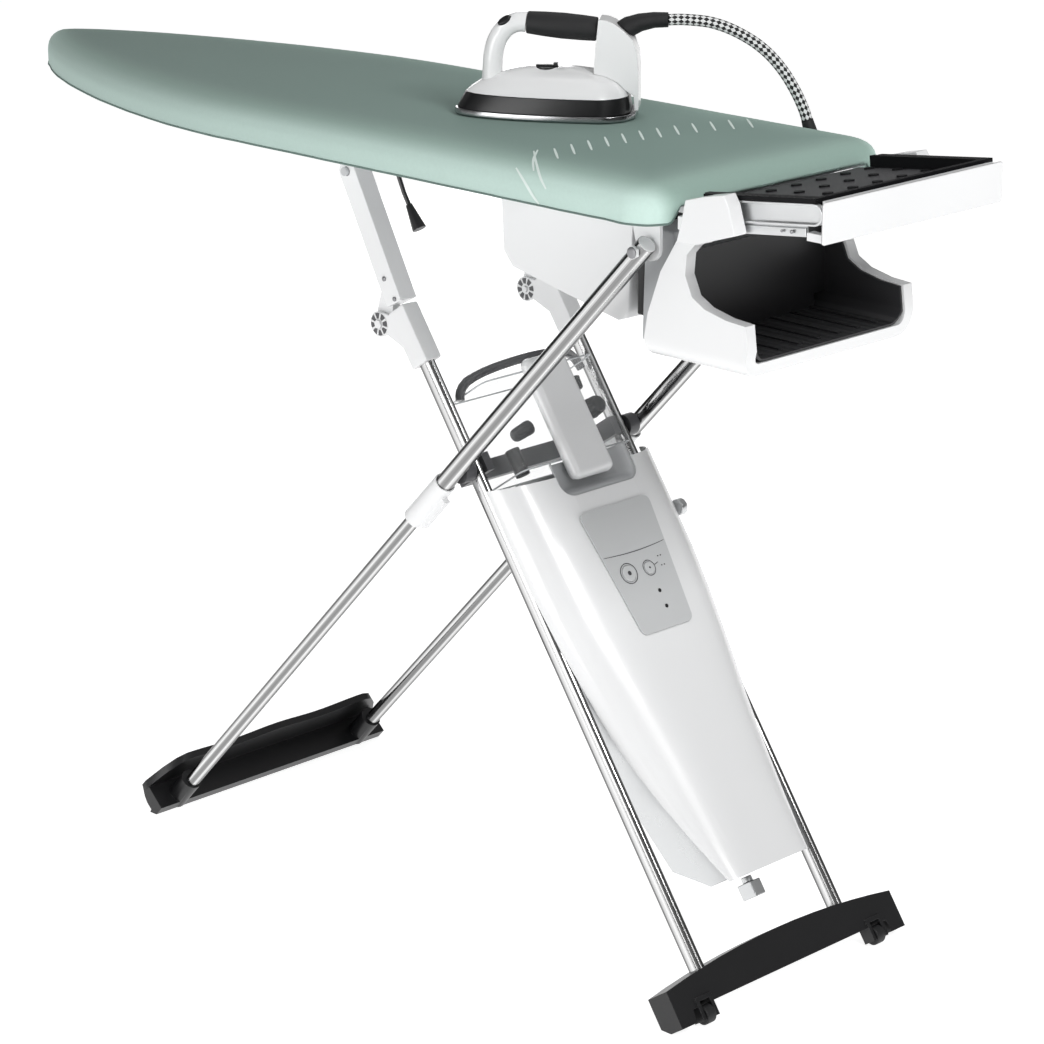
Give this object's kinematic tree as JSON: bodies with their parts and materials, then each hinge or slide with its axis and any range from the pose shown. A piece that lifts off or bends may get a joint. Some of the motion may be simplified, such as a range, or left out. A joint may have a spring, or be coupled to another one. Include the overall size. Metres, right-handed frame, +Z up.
{
  "type": "steam generator iron",
  "caption": "Steam generator iron with its folding vacuum ironing board, crossed stand, water tank, storage bin and slide-out iron rest.",
  "frame": {"origin": "on the floor, below the middle of the length and width of the board and its iron rest", "axes": "+Z up, +X along the board to its square tail and the iron rest, +Y to the side that the steam hose goes down"},
  "size_m": [1.556, 0.4523, 1.1488],
  "materials": {
    "white_plastic": "gloss white",
    "silver_plastic": "satin silver-grey",
    "grey_plastic": "satin grey",
    "dark_grey_plastic": "satin dark grey",
    "black_plastic": "satin black",
    "black_rubber": "matt black",
    "chrome": "polished",
    "steel": "brushed",
    "boiler_metal": "cast",
    "clear_plastic": "clear",
    "cover_fabric": "grey-green woven cotton",
    "hose_braid": "black and white textile braid over the hose"
  },
  "bodies": {
    "board": {"board_panel": "grey_plastic", "board_cover": "cover_fabric", "rack_rail": "steel", "fan_housing": "white_plastic", "fan_motor": "dark_grey_plastic", "filter_cover": "black_plastic", "leg_bracket_near": "white_plastic", "leg_bracket_far": "white_plastic", "tail_frame": "white_plastic", "tray_rail_near": "steel", "tray_rail_far": "steel", "bin_shell": "white_plastic", "bin_lining": "black_plastic", "bin_back": "grey_plastic", "hose_gland": "black_rubber", "steam_cord": "hose_braid"},
    "fan_rotor": {"fan_impeller": "black_plastic"},
    "tray": {"tray_front": "white_plastic", "tray_pad": "black_rubber"},
    "lever": {"height_lever": "black_plastic"},
    "leg_a": {"leg_a_tube_upper_near": "chrome", "leg_a_tube_upper_far": "chrome", "leg_a_collar_near": "white_plastic", "leg_a_collar_far": "white_plastic", "leg_a_tube_lower_near": "chrome", "leg_a_tube_lower_far": "chrome", "foot_a": "black_plastic"},
    "carriage": {"carriage": "steel"},
    "arms": {"arm_near": "grey_plastic", "arm_far": "grey_plastic"},
    "leg_b": {"sleeve_near": "grey_plastic", "sleeve_far": "grey_plastic", "leg_b_tube_near": "chrome", "leg_b_tube_far": "chrome", "pivot_bar": "dark_grey_plastic", "foot_b": "black_plastic", "case_front": "white_plastic", "case_rear": "silver_plastic", "tank_seat": "dark_grey_plastic", "boiler": "boiler_metal", "control_panel": "silver_plastic"},
    "wheel_near": {"wheel_near": "black_rubber"},
    "wheel_far": {"wheel_far": "black_rubber"},
    "button_power": {"button_power": "white_plastic"},
    "button_mode": {"button_mode": "white_plastic"},
    "steam_knob": {"steam_knob": "silver_plastic"},
    "drain_plug": {"drain_plug": "silver_plastic"},
    "tank": {"tank_body": "clear_plastic", "tank_lid": "clear_plastic", "tank_handle": "silver_plastic", "water_valve": "black_plastic", "bow_handle": "grey_plastic"},
    "iron": {"iron_soleplate": "chrome", "iron_skirt": "black_plastic", "iron_body": "white_plastic", "iron_grip": "black_plastic", "iron_column": "white_plastic", "iron_strain_relief": "black_rubber"},
    "iron_button": {"iron_button": "black_plastic"},
    "iron_dial": {"iron_dial": "black_plastic"}
  },
  "joints": [
    {"name": "arm_fold", "type": "hinge", "parent": "carriage", "child": "arms", "pos_m": [0.0047, 0, 0.94488], "axis": [0, -1, 0], "range_deg": [0, 46.41]},
    {"name": "rack_slide", "type": "slide", "parent": "board", "child": "carriage", "axis": [-1, 0, 0], "range_m": [0, 0.3098]},
    {"name": "knuckle_fold", "type": "hinge", "parent": "arms", "child": "leg_b", "pos_m": [0.0602, 0, 0.7585], "axis": [0, -1, 0], "range_deg": [-11.42, 0]},
    {"name": "leg_a_fold", "type": "hinge", "parent": "board", "child": "leg_a", "pos_m": [0.529, 0, 0.934], "axis": [0, -1, 0], "range_deg": [-31.78, 0]},
    {"name": "fan_spin", "type": "hinge", "parent": "board", "child": "fan_rotor", "pos_m": [0.352, 0, 0.925], "axis": [0, 0, 1], "continuous": true},
    {"name": "tray_slide", "type": "slide", "parent": "board", "child": "tray", "axis": [0.9934, 0, 0.1149], "range_m": [0, 0.12]},
    {"name": "lever_swing", "type": "hinge", "parent": "board", "child": "lever", "pos_m": [0.152, -0.1955, 0.9835], "axis": [0, -1, 0], "range_deg": [0, 30], "stiffness_Nm_per_rad": 0.6},
    {"name": "wheel_near_spin", "type": "hinge", "parent": "leg_b", "child": "wheel_near", "pos_m": [0.6395, -0.16, 0.0132], "axis": [0, 1, 0], "continuous": true},
    {"name": "wheel_far_spin", "type": "hinge", "parent": "leg_b", "child": "wheel_far", "pos_m": [0.6395, 0.16, 0.0132], "axis": [0, 1, 0], "continuous": true},
    {"name": "power_press", "type": "slide", "parent": "leg_b", "child": "button_power", "axis": [-0.8221, 0, -0.5693], "range_m": [0, 0.0012], "stiffness_N_per_m": 400},
    {"name": "mode_press", "type": "slide", "parent": "leg_b", "child": "button_mode", "axis": [-0.8221, 0, -0.5693], "range_m": [0, 0.0012], "stiffness_N_per_m": 400},
    {"name": "steam_knob_turn", "type": "hinge", "parent": "leg_b", "child": "steam_knob", "pos_m": [0.30929, 0.1392, 0.51013], "axis": [0, 1, 0], "range_deg": [0, 270]},
    {"name": "drain_plug_turn", "type": "hinge", "parent": "leg_b", "child": "drain_plug", "pos_m": [0.56231, 0, 0.11487], "axis": [-0.5693, 0, 0.8221], "range_deg": [0, 90]},
    {"name": "tank_lift", "type": "slide", "parent": "leg_b", "child": "tank", "axis": [-0.5693, 0, 0.8221], "range_m": [0, 0.1]},
    {"name": "iron_lift", "type": "slide", "parent": "board", "child": "iron", "axis": [0, 0, 1], "range_m": [0, 0.12]},
    {"name": "iron_button_press", "type": "slide", "parent": "iron", "child": "iron_button", "axis": [-0.0927, 0.7822, -0.6161], "range_m": [0, 0.0015], "stiffness_N_per_m": 400},
    {"name": "iron_dial_turn", "type": "hinge", "parent": "iron", "child": "iron_dial", "pos_m": [0.197, 0.0164, 1.0766], "axis": [0, 0, 1], "range_deg": [-135, 135]}
  ],
  "couplings": [
    {"joint": "rack_slide", "follows": "arm_fold", "m_per_rad": 0.3823},
    {"joint": "knuckle_fold", "follows": "arm_fold", "ratio": -0.2459},
    {"joint": "leg_a_fold", "follows": "arm_fold", "ratio": -0.6846}
  ]
}
